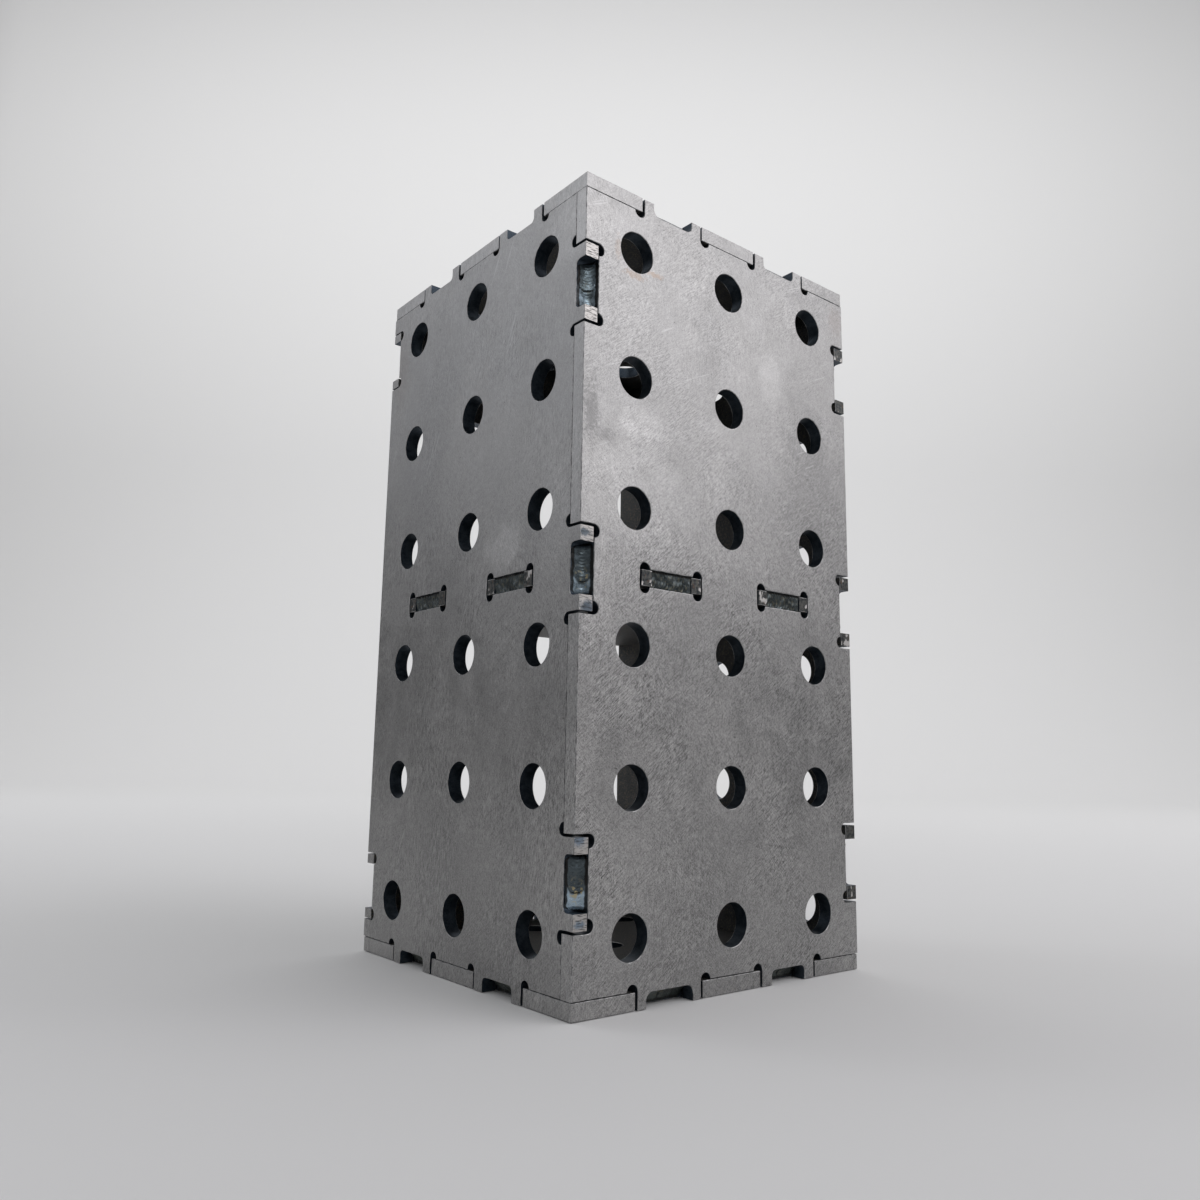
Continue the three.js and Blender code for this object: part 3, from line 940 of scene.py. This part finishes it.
def slot_plug(node, centre, out, across, seed):
    """The weld that fills the pocket in a mid plate tab, with a rough, slightly hollow face."""
    up = Vector((0, 0, 1))
    half_length = SLOT_POCKET[0] / 2 - PLUG_CLEARANCE
    half_height = (SLOT_HEIGHT - PLUG_CLEARANCE) / 2
    back = SLOT_POCKET[1] - PLUG_CLEARANCE
    bm = bmesh.new()
    layers = {key: bm.verts.layers.float.new(key) for key in LAYERS}
    rows = []
    for i in range(ALONG_STEPS + 1):
        s = -half_length + 2 * half_length * i / ALONG_STEPS
        row = []
        end = max(0.0, 1 - (half_length - abs(s)) / (2.2 * MM))
        for j in range(ACROSS_STEPS + 1):
            v = 2 * j / ACROSS_STEPS - 1
            phase = (s + 1.4 * MM * v * v) / PLUG_RIPPLE_PITCH + seed
            ripple = PLUG_RIPPLE_HEIGHT * math.sin(2 * math.pi * phase)
            lump = PLUG_LUMP_HEIGHT * wobble(s / (2.2 * MM), v * 1.4, seed * 1.9)
            depth = PLUG_DEPTH - 0.3 * MM * v - 0.75 * MM * end * end + ripple + lump
            ragged = 0.12 * MM * (1 + wobble(s / (1.3 * MM), seed, v)) * abs(v) ** 8
            height = half_height * v - math.copysign(ragged, v)
            depth = max(depth, SHALLOWEST)
            vert = bm.verts.new(centre - out * depth + across * s + up * height)
            # painted shade along the plug's upper edge, weaker along its lower edge
            vert[layers["toe_shade"]] = max(smooth(0.55, 1.0, v), 0.7 * smooth(0.8, 1.0, -v))
            vert[layers["pool"]] = 0.5 + 0.9 * wobble(s / (5 * MM), v, seed * 3.3) + 0.2 * end
            vert[layers["core"]] = 0.6
            row.append(vert)
        for height in (half_height - PLUG_BACK_BEVEL, PLUG_BACK_BEVEL - half_height):
            row.append(bm.verts.new(centre - out * back + across * s + up * height))
        rows.append(row)
    skin(bm, rows)
    name = "plug_" + node[len("weld_"):]
    put(finish_mesh(name, bm, [MATERIALS["dark_weld"]], WELD_SHARP), node)


for turn, side in enumerate(("front", "left", "right")):
    across = AXIS["right"] if side == "front" else AXIS["back"]
    for number, offset in enumerate(END_TABS, 1):
        centre = AXIS[side] * HALF + across * offset
        centre.z = MID_Z
        slot_plug(f"weld_slot_{side}_{number}", centre, AXIS[side], across, number + 2.6 * turn)


# ---------- studio ----------
# in metres, ahead of the column as the camera looks
FLOOR_START = -3.0
FLOOR_END = 2.0
FLOOR_LEVEL = -0.2 * MM
SWEEP = 1.2
SWEEP_STEPS = 16
BACKDROP_TOP = 4.5
HALF_WIDTH = 5
# the half width of the pale wedge that the camera sees, at the column and for each metre past it
WEDGE_HALF = 0.34
WEDGE_SLOPE = 0.66


def studio():
    """A pale floor that sweeps up into a backdrop. Outside the camera's wedge it is greyer, so the
    object's sides reflect less light from below."""
    n = Nodes("studio_paper", 0.0)
    heading = math.atan2(CAMERA_AIM.y, CAMERA_AIM.x)
    seen = n.mapped(n.place, scale=(MM,) * 3, turn=(0, 0, math.pi / 2 - heading))
    split = n.tree.nodes.new("ShaderNodeSeparateXYZ")
    n.link(seen, split.inputs[0])
    reach = n.math("ADD", n.math("MULTIPLY", split.outputs["Y"], WEDGE_SLOPE), WEDGE_HALF)
    outside = n.math("SUBTRACT", n.math("ABSOLUTE", split.outputs["X"]), reach)
    n.set(Base_Color=n.mix(n.span(outside, -0.05, 0.6), grey(0.72), grey(0.3)), Roughness=0.9)
    turns = [math.pi / 2 * k / SWEEP_STEPS for k in range(1, SWEEP_STEPS + 1)]
    profile = [(FLOOR_START, 0.0), (FLOOR_END, 0.0)]
    profile += [(FLOOR_END + SWEEP * math.sin(a), SWEEP * (1 - math.cos(a))) for a in turns]
    profile += [(FLOOR_END + SWEEP, BACKDROP_TOP)]
    aim = Vector((CAMERA_AIM.x, CAMERA_AIM.y, 0)).normalized()
    side = Vector((aim.y, -aim.x, 0))
    bm = bmesh.new()
    rows = []
    for y, z in profile:
        middle = aim * y + Vector((0, 0, z + FLOOR_LEVEL))
        rows.append([bm.verts.new(middle + side * x) for x in (-HALF_WIDTH, HALF_WIDTH)])
    for a, b in zip(rows, rows[1:]):
        bm.faces.new((a[0], a[1], b[1], b[0]))
    mesh = bpy.data.meshes.new("floor")
    bm.to_mesh(mesh)
    bm.free()
    mesh.materials.append(n.material)
    mesh.shade_smooth()
    floor = bpy.data.objects.new("floor", mesh)
    bpy.context.collection.objects.link(floor)


def area_light(name, at, aim, size, power, tint=(1, 1, 1)):
    """A soft light of the given width and height."""
    data = bpy.data.lights.new(name, "AREA")
    data.shape = "RECTANGLE"
    data.size, data.size_y = size
    data.energy = power
    data.color = tint
    light = bpy.data.objects.new(name, data)
    light.location = at
    light.rotation_euler = (Vector(aim) - Vector(at)).to_track_quat("-Z", "Y").to_euler()
    bpy.context.collection.objects.link(light)


studio()
area_light("key", (0.99, -1.58, 1.46), (0, 0, 0.2), (2.1, 1.8), 22.3, (0.99, 0.972, 1))
area_light("fill", (-1.36, 1.22, 1.33), (0, 0, 0.2), (1.7, 1.5), 5.6, (0.91, 0.935, 1))
area_light("front", (-1.35, -1.6, 1.5), (0, 0, 0.15), (1.0, 1.0), 8.5)
area_light("backdrop", (0.55, 0.7, 2.9), (1.95, 2.45, 1.3), (6.5, 0.7), 92)
world = bpy.data.worlds.new("studio")
world.use_nodes = True
world.node_tree.nodes["Background"].inputs["Color"].default_value = (0.985, 0.98, 1.0, 1)
world.node_tree.nodes["Background"].inputs["Strength"].default_value = 0.22
bpy.context.scene.world = world
bpy.context.scene.view_settings.view_transform = "Standard"
